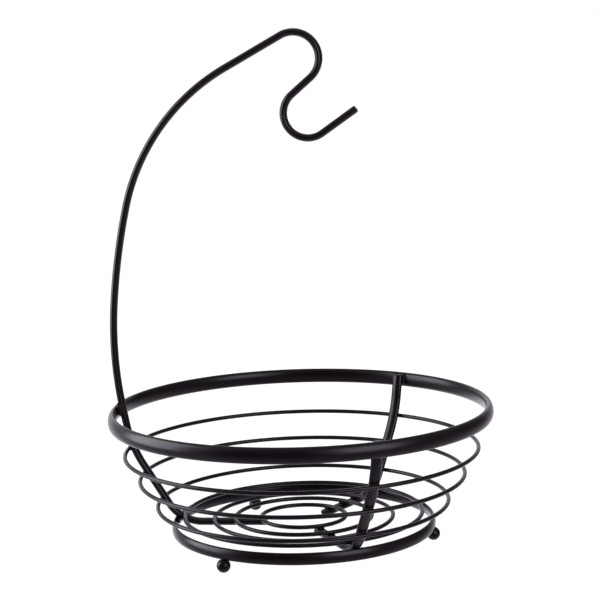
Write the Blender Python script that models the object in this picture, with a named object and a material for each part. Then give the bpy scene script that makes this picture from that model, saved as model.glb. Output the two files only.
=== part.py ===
"""Wire fruit basket with a banana hanger.

A round basket of steel: a flat oval rim band, three thin side rings, a flat oval foot band and
four bottom rings, all carried by three bent flat bars. One of the bars runs on past the rim as the
hanger arm and ends in the banana hook. Three small balls under the foot band are the feet.
The whole is welded, so nothing moves. Units are metres, +Z is up, the arm stands at -X and the
origin is on the basket's axis, on the surface that the feet stand on.
"""
import math

import bmesh
import bpy
import numpy as np
from mathutils import Vector

# Overall sizes
RIM_OUTER_DIAMETER = 0.2722
RIM_HEIGHT = 0.0932
RIM_BAND_HEIGHT = 0.0109
RIM_BAND_THICKNESS = 0.0058
FOOT_BAND_HEIGHT = 0.0083
FOOT_BAND_THICKNESS = 0.0035
BAND_LEAN = math.radians(5)
SIDE_WIRE = 0.003
BASE_WIRE = 0.003
WELD_GAP = 0.0003

# Flat bar of the ribs and of the arm
BAR_WIDTH = 0.0072
BAR_THICKNESS = 0.0045
BAR_CORNER = 0.0014
BAR_END_CHAMFER = 0.0006

# Wall of the basket, as the ribs are bent
RIM_LEAN = math.radians(10.6)
WALL_LEAN = math.radians(31.5)
WALL_BEND_DROP = 0.025
WALL_BEND_RADIUS = 0.084
FOOT_BEND_RADIUS = 0.028
LEG_RISE = 0.0002
LEG_OVERHANG = 0.004
RIB_TOP_RISE = 0.0043

# Rings, placed between the foot ring and the rim, and across the bottom
SIDE_RING_PLACES = ("upper", "middle", "lower")
SIDE_RING_HEIGHT_SHARES = (0.667, 0.435, 0.195)
BASE_RING_RADIUS_SHARES = (0.327, 0.528, 0.691, 0.917)

# Ball feet
BALL_DIAMETER = 0.0097
BALL_FLAT_DEPTH = 0.0004
BALL_SINK = 0.0006
CROWN_DIAMETER = 0.001

# Hanger arm above the rim, bent from the rim to the tip of the hook
SWEEP_LOW_RADIUS = 0.2835
SWEEP_LOW_TURN = math.radians(15.9)
SWEEP_MIDDLE_RADIUS = 0.473
SWEEP_MIDDLE_TURN = math.radians(8.5)
SWEEP_HIGH_RADIUS = 0.1488
SWEEP_HIGH_TURN = math.radians(47.8)
ARM_REACH = 0.0445
CREST_RADIUS = 0.0179
CREST_TURN = math.radians(168)
HOOK_LINK = 0.0176
HOOK_RADIUS = 0.017
HOOK_TURN = math.radians(174)
HOOK_TIP = 0.0294

# Places around the axis
ARM_ANGLE = math.radians(180)
RIB_ANGLES = {"rear": math.radians(60.8), "front": math.radians(-60.8)}
FOOT_ANGLES = {"right": 0.0, "rear": math.radians(120), "front": math.radians(-120)}

# Facets
ARC_STEP = math.radians(10)
ARC_SAG = 0.00012
FINE_STEP = math.radians(0.5)
RIM_SEGMENTS = 78
FOOT_SEGMENTS = 72
SIDE_SEGMENTS = 72
BASE_SEGMENTS = (36, 42, 48, 54)
BAND_SIDES = 16
WIRE_SIDES = 8
CORNER_POINTS = 3
BALL_SEGMENTS = 16
BALL_ROWS = 9
SHARP_ANGLE = math.radians(50)

# Sizes that follow
RIM_RADIUS = RIM_OUTER_DIAMETER / 2 - RIM_BAND_THICKNESS / 2
FOOT_HEIGHT = BALL_DIAMETER - BALL_FLAT_DEPTH - BALL_SINK + FOOT_BAND_HEIGHT / 2
LEG_HEIGHT = FOOT_HEIGHT + LEG_RISE
BAR_HALF = BAR_THICKNESS / 2


def start_empty():
    for item in list(bpy.data.objects):
        bpy.data.objects.remove(item, do_unlink=True)


def make_material(name, colour, roughness, metallic):
    material = bpy.data.materials.new(name)
    material.use_nodes = True
    shader = material.node_tree.nodes["Principled BSDF"]
    shader.inputs["Base Color"].default_value = (*colour, 1.0)
    shader.inputs["Roughness"].default_value = roughness
    shader.inputs["Metallic"].default_value = metallic
    material.diffuse_color = (*colour, 1.0)
    return material


def finish(obj, material):
    obj.data.materials.clear()
    obj.data.materials.append(material)
    obj.data.shade_smooth()
    obj.data.set_sharp_from_angle(angle=SHARP_ANGLE)
    return obj


def heading(angle):
    """Unit step in the (radial, height) plane: 0 points outward, 90 degrees points up."""
    return np.array([math.cos(angle), math.sin(angle)])


def arc_points(start, angle, radius, turn, step):
    """Points along an arc that leaves start at the given heading; a positive turn is to the left."""
    fine = min(step, 2 * math.acos(1 - ARC_SAG / radius))
    count = max(2, math.ceil(abs(turn) / fine))
    side = 1 if turn > 0 else -1
    centre = start + side * radius * heading(angle + math.pi / 2)
    points = []
    for index in range(1, count + 1):
        now = angle + turn * index / count
        points.append(centre - side * radius * heading(now + math.pi / 2))
    return points, angle + turn


def rounded_path(corners, radii, step):
    """A polyline whose inner corners are rounded with the given radii."""
    points = [corners[0]]
    for before, corner, after, radius in zip(corners, corners[1:], corners[2:], radii):
        arrive = (corner - before) / np.linalg.norm(corner - before)
        leave = (after - corner) / np.linalg.norm(after - corner)
        turn = math.atan2(arrive[0] * leave[1] - arrive[1] * leave[0], arrive @ leave)
        start = corner - arrive * radius * math.tan(abs(turn) / 2)
        points.append(start)
        arc, _ = arc_points(start, math.atan2(arrive[1], arrive[0]), radius, turn, step)
        points.extend(arc)
    points.append(corners[-1])
    return points


def wall_corners():
    """The bar's centre line beside the rim, at its wall corner and at its foot corner."""
    slope = heading(math.pi / 2 - RIM_LEAN)
    lean_between = math.tan(RIM_LEAN) - math.tan(BAND_LEAN)
    reach = math.hypot(RIM_BAND_THICKNESS / 2, RIM_BAND_HEIGHT / 2 * lean_between)
    seat = reach + (WELD_GAP + BAR_HALF) / math.cos(RIM_LEAN)
    beside_rim = np.array([RIM_RADIUS - seat, RIM_HEIGHT])
    bend = beside_rim - slope * WALL_BEND_DROP / slope[1]
    fall = bend[1] - LEG_HEIGHT
    foot = np.array([bend[0] - fall * math.tan(WALL_LEAN), LEG_HEIGHT])
    return beside_rim, bend, foot


def wall_path(rise, leg_end, step):
    """Centre line of a rib from a rise above the rim down the wall and in along its leg."""
    beside_rim, bend, foot = wall_corners()
    slope = heading(math.pi / 2 - RIM_LEAN)
    top = beside_rim + slope * rise / slope[1]
    end = np.array([leg_end, LEG_HEIGHT])
    return rounded_path([top, bend, foot, end], [WALL_BEND_RADIUS, FOOT_BEND_RADIUS], step)


def path_normals(points):
    """Unit normals on the right-hand side of a path in the (radial, height) plane."""
    points = np.array(points)
    legs = np.diff(points, axis=0)
    legs /= np.linalg.norm(legs, axis=1)[:, None]
    tangents = np.vstack([legs[:1], legs[:-1] + legs[1:], legs[-1:]])
    tangents /= np.linalg.norm(tangents, axis=1)[:, None]
    return np.stack([tangents[:, 1], -tangents[:, 0]], axis=1)


def wall_offset(distance):
    """The wall's centre line moved outward by a distance, as (radius, height) points."""
    points = np.array(wall_path(RIM_BAND_HEIGHT, 0.0, FINE_STEP))
    return points - distance * path_normals(points)


def outer_seat_radius(height, wire):
    """Radius of a ring that lies against the outside of the ribs at this height."""
    line = wall_offset(BAR_HALF + WELD_GAP + wire / 2)[::-1]
    return float(np.interp(height, line[1:, 1], line[1:, 0]))


def foot_band_radius():
    """Radius at which the oval foot band just clears the outside of the ribs where they bend in."""
    line = wall_offset(BAR_HALF + WELD_GAP)
    above = line[:, 1] - FOOT_HEIGHT
    beside = np.abs(above) < FOOT_BAND_HEIGHT / 2
    half = FOOT_BAND_THICKNESS / 2 * np.sqrt(1 - (2 * above[beside] / FOOT_BAND_HEIGHT) ** 2)
    return float(np.max(line[beside, 0] + half - above[beside] * math.tan(BAND_LEAN)))


def inner_seat_height(radius, wire):
    """Height of a ring that lies on the legs, or on the start of their bend."""
    line = wall_offset(-(BAR_HALF + WELD_GAP + wire / 2))[::-1]
    return float(np.interp(radius, line[:, 0], line[:, 1]))


def arm_path(step):
    """Centre line of the hanger arm from beside the rim up to the tip of the hook."""
    point = wall_corners()[0]
    angle = math.pi / 2 - RIM_LEAN
    pieces = (
        (SWEEP_LOW_RADIUS, SWEEP_LOW_TURN, 0.0),
        (SWEEP_MIDDLE_RADIUS, SWEEP_MIDDLE_TURN, 0.0),
        (SWEEP_HIGH_RADIUS, SWEEP_HIGH_TURN, ARM_REACH),
        (CREST_RADIUS, CREST_TURN, HOOK_LINK),
        (HOOK_RADIUS, -HOOK_TURN, HOOK_TIP),
    )
    points = [point]
    for radius, turn, straight in pieces:
        arc, angle = arc_points(points[-1], angle, radius, turn, step)
        points.extend(arc)
        if straight > 0:
            points.append(points[-1] + straight * heading(angle))
    return points


def bar_section():
    """Rounded rectangle of the flat bar: across its thickness and across its width."""
    outline = []
    for corner, (side_t, side_w) in enumerate(((1, 1), (-1, 1), (-1, -1), (1, -1))):
        centre_t = side_t * (BAR_THICKNESS / 2 - BAR_CORNER)
        centre_w = side_w * (BAR_WIDTH / 2 - BAR_CORNER)
        for index in range(CORNER_POINTS):
            angle = math.pi / 2 * (corner + index / (CORNER_POINTS - 1))
            wide = centre_w + BAR_CORNER * math.sin(angle)
            outline.append((centre_t + BAR_CORNER * math.cos(angle), wide))
    return outline


def skin(name, rings, collection):
    """One closed body through rings of points, with both ends capped."""
    mesh = bpy.data.meshes.new(name)
    shape = bmesh.new()
    rows = [[shape.verts.new(point) for point in ring] for ring in rings]
    for row, following in zip(rows, rows[1:]):
        for index in range(len(row)):
            other = (index + 1) % len(row)
            shape.faces.new((row[index], row[other], following[other], following[index]))
    shape.faces.new(rows[0])
    shape.faces.new(rows[-1])
    bmesh.ops.recalc_face_normals(shape, faces=shape.faces)
    shape.to_mesh(mesh)
    shape.free()
    obj = bpy.data.objects.new(name, mesh)
    collection.objects.link(obj)
    return obj


def bar_along(name, path, angle, collection):
    """Sweep the flat bar along a path that lies in the upright plane at this angle."""
    radial = Vector((math.cos(angle), math.sin(angle), 0))
    across = Vector((-math.sin(angle), math.cos(angle), 0))
    points = [np.array(point) for point in path]
    starts = (points[1] - points[0]) / np.linalg.norm(points[1] - points[0])
    ends = (points[-1] - points[-2]) / np.linalg.norm(points[-1] - points[-2])
    points.insert(1, points[0] + starts * BAR_END_CHAMFER)
    points.insert(-1, points[-1] - ends * BAR_END_CHAMFER)
    normals = path_normals(points)
    outline = bar_section()
    rings = []
    for index, (point, normal) in enumerate(zip(points, normals)):
        at_end = index in (0, len(points) - 1)
        shrink_t = 1 - BAR_END_CHAMFER / BAR_HALF if at_end else 1
        shrink_w = 1 - BAR_END_CHAMFER / (BAR_WIDTH / 2) if at_end else 1
        ring = []
        for thick, wide in outline:
            spot = point + normal * thick * shrink_t
            ring.append(radial * spot[0] + across * wide * shrink_w + Vector((0, 0, spot[1])))
        rings.append(ring)
    return skin(name, rings, collection)


def ring_tube(name, radius, height, tube, segments, sides):
    bpy.ops.mesh.primitive_torus_add(
        major_radius=radius, minor_radius=tube / 2, major_segments=segments,
        minor_segments=sides, location=(0, 0, height))
    obj = bpy.context.object
    obj.name = name
    obj.data.name = name
    return obj


def ring_band(name, radius, height, tall, thick, segments):
    """A flat oval bar on edge, rolled to a hoop that leans outward: a round hoop, stretched and leant."""
    obj = ring_tube(name, radius, height, thick, segments, BAND_SIDES)
    for vert in obj.data.vertices:
        vert.co.z *= tall / thick
        outward = vert.co.xy.normalized() * vert.co.z * math.tan(BAND_LEAN)
        vert.co.x += outward.x
        vert.co.y += outward.y
    return obj


def ball_foot(name, radius, angle, cutter, collection):
    """A ball with a flat to stand on, whose top is saddled to take the lower edge of the foot band."""
    ball = BALL_DIAMETER / 2
    centre = ball - BALL_FLAT_DEPTH
    low = -math.asin(centre / ball)
    high = math.acos(CROWN_DIAMETER / BALL_DIAMETER)
    profile = []
    for index in range(BALL_ROWS):
        now = low + (high - low) * index / (BALL_ROWS - 1)
        profile.append((ball * math.cos(now), centre + ball * math.sin(now)))
    rings = []
    for across, up in profile:
        turns = [2 * math.pi * index / BALL_SEGMENTS for index in range(BALL_SEGMENTS)]
        rings.append([Vector((across * math.cos(turn), across * math.sin(turn), up)) for turn in turns])
    obj = skin(name, rings, collection)
    obj.location = (radius * math.cos(angle), radius * math.sin(angle), 0)
    cut = obj.modifiers.new("saddle", "BOOLEAN")
    cut.operation = "DIFFERENCE"
    cut.solver = "EXACT"
    cut.object = cutter
    return obj


def build():
    start_empty()
    collection = bpy.context.scene.collection
    coat = (0.028, 0.027, 0.029)
    band_coat = make_material("satin_black_band", coat, 0.38, 0.35)
    wire_coat = make_material("satin_black_wire", coat, 0.34, 0.35)
    bar_coat = make_material("satin_black_bar", coat, 0.42, 0.35)
    ball_coat = make_material("satin_black_ball", coat, 0.36, 0.35)

    rim = ring_band("rim_ring", RIM_RADIUS, RIM_HEIGHT, RIM_BAND_HEIGHT, RIM_BAND_THICKNESS, RIM_SEGMENTS)
    finish(rim, band_coat)
    foot_radius = foot_band_radius()
    foot = ring_band("foot_ring", foot_radius, FOOT_HEIGHT, FOOT_BAND_HEIGHT, FOOT_BAND_THICKNESS,
                     FOOT_SEGMENTS)
    finish(foot, band_coat)

    for place, share in zip(SIDE_RING_PLACES, SIDE_RING_HEIGHT_SHARES):
        height = FOOT_HEIGHT + share * (RIM_HEIGHT - FOOT_HEIGHT)
        radius = outer_seat_radius(height, SIDE_WIRE)
        ring = ring_tube(f"side_ring_{place}", radius, height, SIDE_WIRE, SIDE_SEGMENTS, WIRE_SIDES)
        finish(ring, wire_coat)

    for number, (share, segments) in enumerate(zip(BASE_RING_RADIUS_SHARES, BASE_SEGMENTS), 1):
        radius = share * foot_radius
        height = inner_seat_height(radius, BASE_WIRE)
        ring = ring_tube(f"base_ring_{number}", radius, height, BASE_WIRE, segments, WIRE_SIDES)
        finish(ring, wire_coat)

    leg_end = BASE_RING_RADIUS_SHARES[0] * foot_radius - LEG_OVERHANG
    for place, angle in RIB_ANGLES.items():
        path = wall_path(RIB_TOP_RISE, leg_end, ARC_STEP)
        finish(bar_along(f"rib_{place}", path, angle, collection), bar_coat)

    lower = wall_path(0.0, leg_end, ARC_STEP)[::-1]
    arm = lower[:-1] + arm_path(ARC_STEP)
    finish(bar_along("hanger_arm", arm, ARM_ANGLE, collection), bar_coat)

    tall = FOOT_BAND_HEIGHT + 2 * WELD_GAP
    thick = FOOT_BAND_THICKNESS + 2 * WELD_GAP
    cutter = ring_band("saddle_cutter", foot_radius, FOOT_HEIGHT, tall, thick, FOOT_SEGMENTS)
    cutter.hide_render = True
    cutter.display_type = "WIRE"
    for place, angle in FOOT_ANGLES.items():
        finish(ball_foot(f"ball_foot_{place}", foot_radius, angle, cutter, collection), ball_coat)


build()
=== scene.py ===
"""Studio scene of a satin black wire fruit basket with a banana hanger."""
import math

import bmesh
import bpy
from mathutils import Matrix, Vector, noise


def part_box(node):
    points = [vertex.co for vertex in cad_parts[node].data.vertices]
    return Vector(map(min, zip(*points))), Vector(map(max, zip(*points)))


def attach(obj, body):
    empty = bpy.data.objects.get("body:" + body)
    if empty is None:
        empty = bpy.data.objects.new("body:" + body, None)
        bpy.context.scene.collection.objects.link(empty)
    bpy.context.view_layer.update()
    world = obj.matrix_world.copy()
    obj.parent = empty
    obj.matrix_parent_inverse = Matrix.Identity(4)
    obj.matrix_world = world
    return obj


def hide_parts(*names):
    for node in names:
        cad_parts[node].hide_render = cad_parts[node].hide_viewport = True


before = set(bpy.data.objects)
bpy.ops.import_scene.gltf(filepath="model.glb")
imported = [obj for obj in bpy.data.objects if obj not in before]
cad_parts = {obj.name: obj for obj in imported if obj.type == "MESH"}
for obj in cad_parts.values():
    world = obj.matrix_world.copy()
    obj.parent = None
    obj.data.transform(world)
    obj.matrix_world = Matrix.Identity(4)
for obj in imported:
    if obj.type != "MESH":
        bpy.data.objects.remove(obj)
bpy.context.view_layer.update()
scene = bpy.context.scene
collection = scene.collection

# Rim band: flat oval steel bar, rolled on edge to a hoop whose top leans inward a little, butt welded
# and powder coated satin black with the rest of the basket. The coat is one sprayed and baked layer,
# so every piece shares its fine orange-peel skin and differs only in how evenly the powder lay on it.
RIM_TALL = 0.0109
RIM_THICK = 0.0058
BAND_LEAN = math.radians(-4)
RIM_STEPS = 360
RIM_SIDES = 48
SHARP_EDGE = math.radians(50)

COAT_BLACK = (0.0030, 0.0014, 0.0016, 1)
COAT_GREY = (0.0044, 0.0027, 0.0030, 1)
COAT_TINT = (0.86, 0.78, 1.0)
COAT_IOR = 1.3
DRIFT_LOW, DRIFT_HIGH = 0.32, 0.72
DRIFT_MIDDLE = 0.5
DRIFT_DETAIL = 3
ROUGHNESS_DRIFT = 0.06
GRAINS_A_METRE = 1700
GRAIN_CORE, GRAIN_EDGE = 0.05, 0.22
GRAIN_PAINTED_GLINT_GAIN = 1.35
PEEL_A_METRE = 620
PEEL_DETAIL = 4
PEEL_BREAKUP = 0.6
PEEL_HEIGHT = 0.0004


def ranged(tree, value, start, stop, low=0.0, high=1.0):
    """A value spread from start..stop to low..high, and held between them."""
    node = tree.nodes.new("ShaderNodeMapRange")
    for label, number in (("From Min", start), ("From Max", stop), ("To Min", low), ("To Max", high)):
        node.inputs[label].default_value = number
    tree.links.new(value, node.inputs["Value"])
    return node.outputs["Result"]


def worked_out(tree, operation, *terms):
    """A sum, product or the like of plain numbers and other nodes' outputs."""
    node = tree.nodes.new("ShaderNodeMath")
    node.operation = operation
    for term, socket in zip(terms, node.inputs):
        if isinstance(term, float):
            socket.default_value = term
        else:
            tree.links.new(term, socket)
    return node.outputs["Value"]


def colour_mix(tree, share, first, second):
    """A mix of two plain colours by a share that varies."""
    node = tree.nodes.new("ShaderNodeMix")
    node.data_type = "RGBA"
    tree.links.new(share, node.inputs["Factor"])
    colour_a, colour_b, result = node.inputs[6], node.inputs[7], node.outputs[2]
    colour_a.default_value = first
    colour_b.default_value = second
    return result


def powder_coat_effect():
    """Skin of baked powder: slow drifts of tone and gloss, fine orange peel, and single grains, each with a
    painted glint (lighter colour) at its core.
    """
    tree = bpy.data.node_groups.new("powder coat skin", "ShaderNodeTree")
    for label in ("Roughness", "Drift Scale", "Peel Depth"):
        tree.interface.new_socket(label, in_out="INPUT", socket_type="NodeSocketFloat")
    for label, kind in (("Colour", "Color"), ("Roughness", "Float"), ("Normal", "Vector")):
        tree.interface.new_socket(label, in_out="OUTPUT", socket_type=f"NodeSocket{kind}")
    nodes, link = tree.nodes, tree.links.new
    inside, out = nodes.new("NodeGroupInput"), nodes.new("NodeGroupOutput")
    place = nodes.new("ShaderNodeTexCoord")

    drift = nodes.new("ShaderNodeTexNoise")
    drift.inputs["Detail"].default_value = DRIFT_DETAIL
    link(place.outputs["Object"], drift.inputs["Vector"])
    link(inside.outputs["Drift Scale"], drift.inputs["Scale"])
    thin = ranged(tree, drift.outputs["Fac"], DRIFT_LOW, DRIFT_HIGH)

    grains = nodes.new("ShaderNodeTexVoronoi")
    grains.inputs["Scale"].default_value = GRAINS_A_METRE
    link(place.outputs["Object"], grains.inputs["Vector"])
    # Painted glint: the coat's colour is made lighter at the core of each grain, a painted highlight on
    # every grain.
    painted_grain_glint = ranged(tree, grains.outputs["Distance"], GRAIN_CORE, GRAIN_EDGE, GRAIN_PAINTED_GLINT_GAIN, 1.0)
    speckled = nodes.new("ShaderNodeVectorMath")
    speckled.operation = "SCALE"
    link(colour_mix(tree, thin, COAT_BLACK, COAT_GREY), speckled.inputs[0])
    link(painted_grain_glint, speckled.inputs["Scale"])
    link(speckled.outputs["Vector"], out.inputs["Colour"])

    shift = worked_out(tree, "SUBTRACT", drift.outputs["Fac"], DRIFT_MIDDLE)
    rough = worked_out(tree, "MULTIPLY_ADD", shift, ROUGHNESS_DRIFT, inside.outputs["Roughness"])
    link(rough, out.inputs["Roughness"])

    peel = nodes.new("ShaderNodeTexNoise")
    peel.inputs["Scale"].default_value = PEEL_A_METRE
    peel.inputs["Detail"].default_value = PEEL_DETAIL
    peel.inputs["Roughness"].default_value = PEEL_BREAKUP
    link(place.outputs["Object"], peel.inputs["Vector"])
    bump = nodes.new("ShaderNodeBump")
    bump.inputs["Distance"].default_value = PEEL_HEIGHT
    link(inside.outputs["Peel Depth"], bump.inputs["Strength"])
    link(peel.outputs["Fac"], bump.inputs["Height"])
    link(bump.outputs["Normal"], out.inputs["Normal"])
    return tree


POWDER_COAT = powder_coat_effect()


def coated_steel(name, roughness, drift, peel, gloss=1.0):
    """Satin black powder coat on steel; the coat's own gloss is the shader's specular layer."""
    material = bpy.data.materials.new(name)
    material.use_nodes = True
    nodes, link = material.node_tree.nodes, material.node_tree.links.new
    shader = nodes["Principled BSDF"]
    shader.inputs["IOR"].default_value = COAT_IOR
    shader.inputs["Specular Tint"].default_value = (*(part * gloss for part in COAT_TINT), 1)
    skin = nodes.new("ShaderNodeGroup")
    skin.node_tree = POWDER_COAT
    skin.inputs["Roughness"].default_value = roughness
    skin.inputs["Drift Scale"].default_value = drift
    skin.inputs["Peel Depth"].default_value = peel
    link(skin.outputs["Colour"], shader.inputs["Base Color"])
    link(skin.outputs["Roughness"], shader.inputs["Roughness"])
    link(skin.outputs["Normal"], shader.inputs["Normal"])
    return material


def finished(shape, name, material, slot, *nodes):
    """Turn a bmesh into a smooth piece that stands for its CAD nodes and rides on the basket."""
    bmesh.ops.recalc_face_normals(shape, faces=shape.faces)
    mesh = bpy.data.meshes.new(name)
    shape.to_mesh(mesh)
    shape.free()
    mesh.shade_smooth()
    mesh.set_sharp_from_angle(angle=SHARP_EDGE)
    mesh.materials.append(material)
    piece = bpy.data.objects.new(name, mesh)
    collection.objects.link(piece)
    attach(piece, "root")
    if nodes:
        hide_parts(*nodes)
    return piece


def hoop(node, tall, thick, lean, steps, sides):
    """A bar bent to a closed hoop where its CAD node is: an oval section, leant at its top and spun."""
    low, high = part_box(node)
    radius = (high[0] - low[0]) / 2 - math.hypot(thick / 2, tall / 2 * math.tan(lean))
    height = (high[2] + low[2]) / 2
    shape = bmesh.new()
    bmesh.ops.create_circle(shape, segments=sides, radius=1)
    upright = Matrix((
        (thick / 2, tall / 2 * math.tan(lean), 0, radius),
        (0, 0, 1, 0),
        (0, tall / 2, 0, height),
        (0, 0, 0, 1),
    ))
    bmesh.ops.transform(shape, matrix=upright, verts=shape.verts)
    bmesh.ops.spin(shape, geom=shape.edges[:], cent=(0, 0, 0), axis=(0, 0, 1), angle=2 * math.pi,
                   steps=steps, use_merge=True, use_duplicate=False)
    return shape, radius, height


band_coat = coated_steel("satin black coat on bands", roughness=0.3, drift=22, peel=0.05)
shape, rim_radius, rim_height = hoop("rim_ring", RIM_TALL, RIM_THICK, BAND_LEAN, RIM_STEPS, RIM_SIDES)
finished(shape, "rim_band", band_coat, "band_coat", "rim_ring")

# Foot band: a lighter oval bar rolled the same way, which lies outside the bars where they turn in
# under the basket, and is welded to each of them.
FOOT_TALL = 0.0083
FOOT_THICK = 0.0035
FOOT_STEPS = 300
FOOT_SIDES = 40

shape, foot_radius, foot_height = hoop("foot_ring", FOOT_TALL, FOOT_THICK, BAND_LEAN, FOOT_STEPS, FOOT_SIDES)
finished(shape, "foot_band", band_coat, "band_coat", "foot_ring")

# Side and bottom rings: drawn steel wire of one gauge, bent to hoops. Three lie against the outside
# of the bars and four on top of their legs, each pressed on and resistance welded.
RING_WIRE = 0.003
WIRE_SIDES = 20
SIDE_STEPS = 264
BOTTOM_STEPS = 192
BOTTOM_RINGS = 4

wire_coat = coated_steel("satin black coat on wire", roughness=0.33, drift=34, peel=0.04)
side_rings = []
for place in ("upper", "middle", "lower"):
    node = f"side_ring_{place}"
    shape, *ring_place = hoop(node, RING_WIRE, RING_WIRE, 0, SIDE_STEPS, WIRE_SIDES)
    side_rings.append(ring_place)
    finished(shape, f"side_wire_{place}", wire_coat, "wire_coat", node)

bottom_rings = []
for number in range(1, BOTTOM_RINGS + 1):
    node = f"base_ring_{number}"
    shape, *ring_place = hoop(node, RING_WIRE, RING_WIRE, 0, BOTTOM_STEPS, WIRE_SIDES)
    bottom_rings.append(ring_place)
    finished(shape, f"bottom_wire_{number}", wire_coat, "wire_coat", node)

# Two ribs: oval steel bar, cut to length and bent twice the flat way, once below the rim and once at
# the foot, so that each is a wall and a leg in one. Their tops end at the rim's inner side.
BAR_WIDTH = 0.0079
BAR_THICKNESS = 0.0053
BAR_SIDES = 36
BAR_END_ROUND = 0.0012
BAR_END_STEPS = 3
BAR_SEAT = 0.00255
RIM_LEAN = math.radians(10.6)
WALL_LEAN = math.radians(31.5)
WALL_BEND_DROP = 0.025
WALL_BEND_RADIUS = 0.084
FOOT_BEND_RADIUS = 0.028
LEG_RISE = 0.0002
LEG_OVERHANG = 0.004
RIB_TOP_RISE = 0.0043
RIB_ANGLES = {"rear": math.radians(60.8), "front": math.radians(-60.8)}

# A wide bend is made in finer steps than a tight one.
BEND_STEP = math.radians(1.5)
BEND_STEP_RADIUS = 0.04
FINEST_STEP = math.radians(0.4)
COARSEST_STEP = 3 * BEND_STEP
FEWEST_STEPS = 4

leg_height = foot_height + LEG_RISE
leg_end = bottom_rings[0][0] - LEG_OVERHANG
rim_reach = math.hypot(RIM_THICK / 2, RIM_TALL / 2 * (math.tan(RIM_LEAN) - math.tan(BAND_LEAN)))
rim_seat = rim_reach + BAR_SEAT / math.cos(RIM_LEAN)
beside_rim = Vector((rim_radius - rim_seat, rim_height))
wall_corner = beside_rim - WALL_BEND_DROP * Vector((math.tan(RIM_LEAN), 1))
foot_corner = Vector((wall_corner[0] - (wall_corner[1] - leg_height) * math.tan(WALL_LEAN), leg_height))
wall_cut = WALL_BEND_RADIUS * math.tan((WALL_LEAN - RIM_LEAN) / 2)
foot_cut = FOOT_BEND_RADIUS * math.tan((math.pi / 2 - WALL_LEAN) / 2)

# The bending of a bar from the end of its leg up to the rim: straight lengths, and bends as
# (radius, turn), where a positive turn is upward and then back over the basket.
wall_bending = (
    foot_corner[0] - leg_end - foot_cut,
    (FOOT_BEND_RADIUS, math.pi / 2 - WALL_LEAN),
    (wall_corner - foot_corner).length - foot_cut - wall_cut,
    (WALL_BEND_RADIUS, WALL_LEAN - RIM_LEAN),
    (beside_rim - wall_corner).length - wall_cut,
)
rib_bending = (*wall_bending[:-1], wall_bending[-1] + RIB_TOP_RISE / math.cos(RIM_LEAN))


def only(kind, geometry):
    """The faces, or the vertices, among what an operator gives back."""
    return [item for item in geometry if isinstance(item, kind)]


def bent_bar(bending, angle):
    """Feed an oval section along its leg, then through each straight and bend in turn."""
    shape = bmesh.new()
    bmesh.ops.create_circle(shape, cap_ends=True, segments=BAR_SIDES, radius=1)
    upright = Matrix((
        (0, 0, 1, leg_end),
        (BAR_WIDTH / 2, 0, 0, 0),
        (0, BAR_THICKNESS / 2, 0, leg_height),
        (0, 0, 0, 1),
    ))
    bmesh.ops.transform(shape, matrix=upright, verts=shape.verts)
    section = shape.faces[:]
    point, heading = Vector((leg_end, 0, leg_height)), 0.0
    for step in bending:
        if isinstance(step, tuple):
            radius, turn = step
            side = 1 if turn > 0 else -1
            centre = point + side * radius * Vector((-math.sin(heading), 0, math.cos(heading)))
            least_turn = min(BEND_STEP * BEND_STEP_RADIUS / radius + FINEST_STEP, COARSEST_STEP)
            spun = bmesh.ops.spin(shape, geom=section, cent=centre, axis=(0, -1, 0), angle=turn,
                                  steps=max(FEWEST_STEPS, math.ceil(abs(turn) / least_turn)),
                                  use_merge=False, use_duplicate=False)
            section = only(bmesh.types.BMFace, spun["geom_last"])
            heading += turn
            point = centre - side * radius * Vector((-math.sin(heading), 0, math.cos(heading)))
        else:
            fed = bmesh.ops.extrude_face_region(shape, geom=section)["geom"]
            section = only(bmesh.types.BMFace, fed)
            move = step * Vector((math.cos(heading), 0, math.sin(heading)))
            bmesh.ops.translate(shape, verts=only(bmesh.types.BMVert, fed), vec=move)
            point = point + move
    ends = [face for face in shape.faces if len(face.verts) == BAR_SIDES]
    rims = list({edge for face in ends for edge in face.edges})
    bmesh.ops.bevel(shape, geom=rims, offset=BAR_END_ROUND, offset_type="OFFSET", affect="EDGES",
                    segments=BAR_END_STEPS, profile=0.5, material=-1, clamp_overlap=True)
    bmesh.ops.rotate(shape, verts=shape.verts, cent=(0, 0, 0), matrix=Matrix.Rotation(angle, 3, "Z"))
    return shape


bar_coat = coated_steel("satin black coat on bars", roughness=0.3, drift=40, peel=0.06)
for place, angle in RIB_ANGLES.items():
    finished(bent_bar(rib_bending, angle), f"rib_{place}_bar", bar_coat, "bar_coat", f"rib_{place}")

# Hanger arm: the third oval bar, bent like the ribs but much longer. Past the rim it sweeps up and
# over the basket, turns back down over a tight crest and ends in the hook for the bananas.
ARM_ANGLE = math.pi
SWEEP_LOW = (0.2835, math.radians(15.9))
SWEEP_MIDDLE = (0.473, math.radians(8.5))
SWEEP_HIGH = (0.1488, math.radians(47.8))
ARM_REACH = 0.0445
CREST = (0.0179, math.radians(168))
HOOK_LINK = 0.0176
HOOK = (0.017, math.radians(-174))
HOOK_TIP = 0.0294

hanger_bending = (SWEEP_LOW, SWEEP_MIDDLE, SWEEP_HIGH, ARM_REACH, CREST, HOOK_LINK, HOOK, HOOK_TIP)
arm_bending = (*wall_bending, *hanger_bending)
finished(bent_bar(arm_bending, ARM_ANGLE), "hanger_bar", bar_coat, "bar_coat", "hanger_arm")

# Feet: three steel balls, resistance welded under the foot band, each with a small flat where it
# stands and a collar of upset metal where the band's lower edge has sunk into its top.
BALL = 0.0097
BALL_FLAT = 0.0004
BALL_SEGMENTS = 48
BALL_RINGS = 32
COLLAR = (0.0017, 0.0024, 0.0010)
COLLAR_SINK = 0.0002
LUMP_DIVISIONS = 3
FOOT_ANGLES = {"right": 0.0, "rear": math.radians(120), "front": math.radians(-120)}

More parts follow.
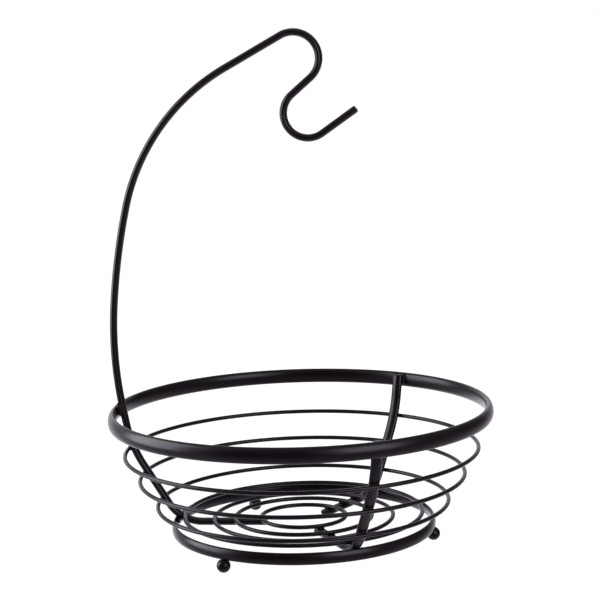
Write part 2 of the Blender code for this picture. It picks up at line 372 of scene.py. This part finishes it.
ball_coat = coated_steel("satin black coat on feet", roughness=0.26, drift=60, peel=0.03, gloss=0.75)
for place, angle in FOOT_ANGLES.items():
    shape = bmesh.new()
    bmesh.ops.create_uvsphere(shape, u_segments=BALL_SEGMENTS, v_segments=BALL_RINGS, radius=BALL / 2)
    bmesh.ops.translate(shape, verts=shape.verts, vec=(0, 0, BALL / 2 - BALL_FLAT))
    bmesh.ops.bisect_plane(shape, geom=shape.verts[:] + shape.edges[:] + shape.faces[:],
                           plane_co=(0, 0, 0), plane_no=(0, 0, -1), clear_outer=True)
    bmesh.ops.holes_fill(shape, edges=[edge for edge in shape.edges if edge.is_boundary])
    collar = bmesh.ops.create_icosphere(shape, subdivisions=LUMP_DIVISIONS, radius=1.0)["verts"]
    lift = Matrix.Translation((0, 0, BALL - BALL_FLAT - COLLAR_SINK))
    bmesh.ops.transform(shape, verts=collar, matrix=lift @ Matrix.Diagonal((*COLLAR, 1)))
    around = Matrix.Rotation(angle, 4, "Z") @ Matrix.Translation((foot_radius, 0, 0))
    bmesh.ops.transform(shape, verts=shape.verts, matrix=around)
    finished(shape, f"foot_{place}_ball", ball_coat, "ball_coat", f"ball_foot_{place}")

# Welds: where a wire is pressed onto a bar, the metal upsets into a small lump on both sides of the
# wire. On the bands a bead is laid down each side of the bar instead. Sizes are half a lump's depth,
# width and height, and a lift is how far a bead's middle is above the band's. The coat runs over all.
WELD_GAP = 0.0003
WIRE_LUMP = (0.0012, 0.0025, 0.0021)
LEG_LUMP = (0.0020, 0.0026, 0.0012)
RIM_BEAD = (0.0019, 0.0018, 0.0039)
RIM_BEAD_LIFT = 0.0012
ARM_BEAD = (0.0026, 0.0022, 0.0046)
ARM_BEAD_LIFT = 0.0030
RIM_BEAD_INWARD = 0.0006
FOOT_BEAD = (0.0013, 0.0012, 0.0026)
FOOT_BEAD_LIFT = 0.0022
FOOT_BEAD_OUTWARD = 0.0001
BEAD_ASIDE = 0.47 * BAR_WIDTH
SWELL_SHARE = 0.22
SWELLS_A_LUMP = 1.3
SWELL_STRIDE = (7.1, 3.7, 1)

weld_coat = coated_steel("satin black coat on welds", roughness=0.46, drift=120, peel=0.25, gloss=0.7)


def lump(shape, spot, size, angle, tilt, number):
    """Add one uneven lump of weld metal; its thin way points away from the bar."""
    made = bmesh.ops.create_icosphere(shape, subdivisions=LUMP_DIVISIONS, radius=1.0)["verts"]
    apart = Vector([number * stride for stride in SWELL_STRIDE])
    for vert in made:
        vert.co *= 1 + SWELL_SHARE * noise.noise(vert.co * SWELLS_A_LUMP + apart)
    turn = Matrix.Rotation(angle, 4, "Z") @ Matrix.Rotation(tilt, 4, "Y")
    seat = Matrix.Translation(spot) @ turn @ Matrix.Diagonal((*size, 1))
    bmesh.ops.transform(shape, verts=made, matrix=seat)


side_welds, bottom_welds, band_welds = bmesh.new(), bmesh.new(), bmesh.new()
number = 0
for angle in (ARM_ANGLE, *RIB_ANGLES.values()):
    out = Vector((math.cos(angle), math.sin(angle), 0))
    along = Vector((-math.sin(angle), math.cos(angle), 0))
    for radius, height in side_rings:
        number += 1
        lean = RIM_LEAN if height > wall_corner[1] else WALL_LEAN
        back = RING_WIRE / 2 + WELD_GAP / 2
        spot = out * (radius - back * math.cos(lean)) + Vector((0, 0, height + back * math.sin(lean)))
        lump(side_welds, spot, WIRE_LUMP, angle, lean, number)
    for radius, height in bottom_rings:
        number += 1
        spot = out * radius + Vector((0, 0, height - RING_WIRE / 2 - WELD_GAP / 2))
        lump(bottom_welds, spot, LEG_LUMP, angle, 0, number)
    bead, lift = (ARM_BEAD, ARM_BEAD_LIFT) if angle == ARM_ANGLE else (RIM_BEAD, RIM_BEAD_LIFT)
    for side in (-1, 1):
        number += 1
        spot = out * (rim_radius - RIM_THICK / 2 - RIM_BEAD_INWARD) + Vector((0, 0, rim_height + lift))
        lump(band_welds, spot + along * side * BEAD_ASIDE, bead, angle, RIM_LEAN, number)
        spot = out * (foot_radius - FOOT_THICK / 2 + FOOT_BEAD_OUTWARD)
        spot += Vector((0, 0, foot_height + FOOT_BEAD_LIFT))
        lump(band_welds, spot + along * side * BEAD_ASIDE, FOOT_BEAD, angle, WALL_LEAN, number)
finished(side_welds, "side_wire_welds", weld_coat, "wire_coat")
finished(bottom_welds, "bottom_wire_welds", weld_coat, "wire_coat")
finished(band_welds, "band_welds", weld_coat, "band_coat")

# Studio floor: a round white table top, lit from within so that the camera sees it as plain white.
# Gloss and shadow rays pass through it, so the black coat mirrors the room below the horizon too.
FLOOR_RADIUS = 6
FLOOR_SEGMENTS = 96
FLOOR_PAINT = (0.6, 0.6, 0.6, 1)
FLOOR_GLOW = 1.2
GLOW_SHARE = 0.85

floor_shape = bmesh.new()
bmesh.ops.create_circle(floor_shape, cap_ends=True, segments=FLOOR_SEGMENTS, radius=FLOOR_RADIUS)
floor_mesh = bpy.data.meshes.new("studio_floor")
floor_shape.to_mesh(floor_mesh)
floor_shape.free()
floor = bpy.data.objects.new("studio_floor", floor_mesh)
collection.objects.link(floor)

floor_paint = bpy.data.materials.new("white studio floor")
floor_paint.use_nodes = True
tree = floor_paint.node_tree
nodes, link = tree.nodes, tree.links.new
nodes.remove(nodes["Principled BSDF"])
matt = nodes.new("ShaderNodeBsdfDiffuse")
matt.inputs["Color"].default_value = FLOOR_PAINT
glow = nodes.new("ShaderNodeEmission")
glow.inputs["Strength"].default_value = FLOOR_GLOW
clear = nodes.new("ShaderNodeBsdfTransparent")
seen = nodes.new("ShaderNodeLightPath")
table = nodes.new("ShaderNodeMixShader")
link(worked_out(tree, "MULTIPLY", seen.outputs["Is Camera Ray"], GLOW_SHARE), table.inputs["Fac"])
link(matt.outputs["BSDF"], table.inputs[1])
link(glow.outputs["Emission"], table.inputs[2])
passed = nodes.new("ShaderNodeMixShader")
either = worked_out(tree, "MAXIMUM", seen.outputs["Is Glossy Ray"], seen.outputs["Is Shadow Ray"])
link(either, passed.inputs["Fac"])
link(table.outputs["Shader"], passed.inputs[1])
link(clear.outputs["BSDF"], passed.inputs[2])
link(passed.outputs["Shader"], nodes["Material Output"].inputs["Surface"])
floor_mesh.materials.append(floor_paint)

# Studio room: dark on the camera's side, and brightest beyond the basket and a little to the left.
# The table sends light up, more of it behind, and the ceiling a little down. The camera itself sees
# plain white. Each stop is (place, tone), and places go from 0 to 1.
BRIGHT_SIDE = Vector((-0.25, 1, 0)).normalized()
FRONT_TO_BACK = (
    (0.1, 0.02), (0.38, 0.25), (0.55, 0.22), (0.66, 0.1),
    (0.8, 0.12), (0.89, 0.5), (0.95, 1.0), (1.0, 1.5),
)
FLOOR_TO_CEILING = (
    (0.0, 0.9), (0.2, 0.65), (0.34, 0.4), (0.46, 0.0),
    (0.62, 0.0), (0.75, 0.16), (1.0, 0.5),
)
HALFWAY = 0.5
REAR_TABLE_GAIN = 2.2
ROOM_TINT = (0.95, 0.91, 1.0, 1)
WHITE = (1, 1, 1, 1)


def tones(tree, value, stops, interpolation):
    """Grey tones along a value that goes from 0 to 1."""
    node = tree.nodes.new("ShaderNodeValToRGB")
    ramp = node.color_ramp
    ramp.interpolation = interpolation
    first, *between, last = stops
    for stop, (spot, tone) in zip(ramp.elements, (first, last)):
        stop.position = spot
        stop.color = (tone, tone, tone, 1)
    for spot, tone in between:
        ramp.elements.new(spot).color = (tone, tone, tone, 1)
    tree.links.new(value, node.inputs["Fac"])
    return node.outputs["Color"]


world = bpy.data.worlds.new("studio room")
scene.world = world
world.use_nodes = True
tree = world.node_tree
nodes, link = tree.nodes, tree.links.new
background = nodes["Background"]
view = nodes.new("ShaderNodeTexCoord")
towards = nodes.new("ShaderNodeVectorMath")
towards.operation = "DOT_PRODUCT"
towards.inputs[1].default_value = BRIGHT_SIDE
link(view.outputs["Generated"], towards.inputs[0])
parts = nodes.new("ShaderNodeSeparateXYZ")
link(view.outputs["Generated"], parts.inputs["Vector"])
facing = ranged(tree, towards.outputs["Value"], -1, 1)
upward = ranged(tree, parts.outputs["Z"], -1, 1)
rear_gain = ranged(tree, facing, HALFWAY, 1, 1, REAR_TABLE_GAIN)
lit_table = worked_out(tree, "MULTIPLY", tones(tree, upward, FLOOR_TO_CEILING, "LINEAR"), rear_gain)
room = worked_out(tree, "ADD", tones(tree, facing, FRONT_TO_BACK, "EASE"), lit_table)
seen = nodes.new("ShaderNodeLightPath")
level = nodes.new("ShaderNodeMix")
level.data_type = "FLOAT"
level.inputs["B"].default_value = 1.0
link(seen.outputs["Is Camera Ray"], level.inputs["Factor"])
link(room, level.inputs["A"])
link(level.outputs["Result"], background.inputs["Strength"])
link(colour_mix(tree, seen.outputs["Is Camera Ray"], ROOM_TINT, WHITE), background.inputs["Color"])

# Lamps: a large soft one at the left is the main light, and a smaller one at the front right fills
# in. Each has its bearing from the camera's side, where right is positive, its height angle, its
# distance, the width and height of its cloth, and how bright the cloth is.
LAMP_AIM = Vector((0, 0, 0.1))
WATTS_A_SQUARE_METRE = 4
LAMPS = (
    ("left soft lamp", math.radians(-86), math.radians(16), 1.2, 0.92, 1.07, 6.5),
    ("right soft lamp", math.radians(45), math.radians(19), 1.4, 0.82, 0.94, 4.6),
)

for name, bearing, rise, distance, width, height, bright in LAMPS:
    flat = math.cos(rise)
    direction = Vector((math.sin(bearing) * flat, -math.cos(bearing) * flat, math.sin(rise)))
    lamp = bpy.data.lights.new(name, "AREA")
    lamp.shape = "RECTANGLE"
    lamp.size, lamp.size_y = width, height
    lamp.energy = WATTS_A_SQUARE_METRE * width * height * bright
    holder = bpy.data.objects.new(name, lamp)
    holder.location = LAMP_AIM + direction * distance
    holder.rotation_euler = (-direction).to_track_quat("-Z", "Y").to_euler()
    holder.visible_camera = False
    collection.objects.link(holder)

# Camera: a long lens about 1.3 m in front of the basket, as high as the crest of the hanger. It
# stands a little to the right, and looks slightly down.
CAMERA_PLACE = (0.1477, -1.2569, 0.3649)
CAMERA_TURN = math.radians(6.612)
CAMERA_PITCH = math.radians(8.617)
CAMERA_ROLL = math.radians(-1.731)
CAMERA_LENS = 109.42
CAMERA_SENSOR = 36
CAMERA_NEAR, CAMERA_FAR = 0.05, 50

lens = bpy.data.cameras.new("camera")
lens.sensor_width = CAMERA_SENSOR
lens.lens = CAMERA_LENS
lens.clip_start, lens.clip_end = CAMERA_NEAR, CAMERA_FAR
camera = bpy.data.objects.new("camera", lens)
aim = Matrix.Rotation(CAMERA_TURN, 4, "Z") @ Matrix.Rotation(math.pi / 2 - CAMERA_PITCH, 4, "X")
camera.matrix_world = Matrix.Translation(CAMERA_PLACE) @ aim @ Matrix.Rotation(CAMERA_ROLL, 4, "Z")
collection.objects.link(camera)
scene.camera = camera
scene.view_settings.view_transform = "Standard"
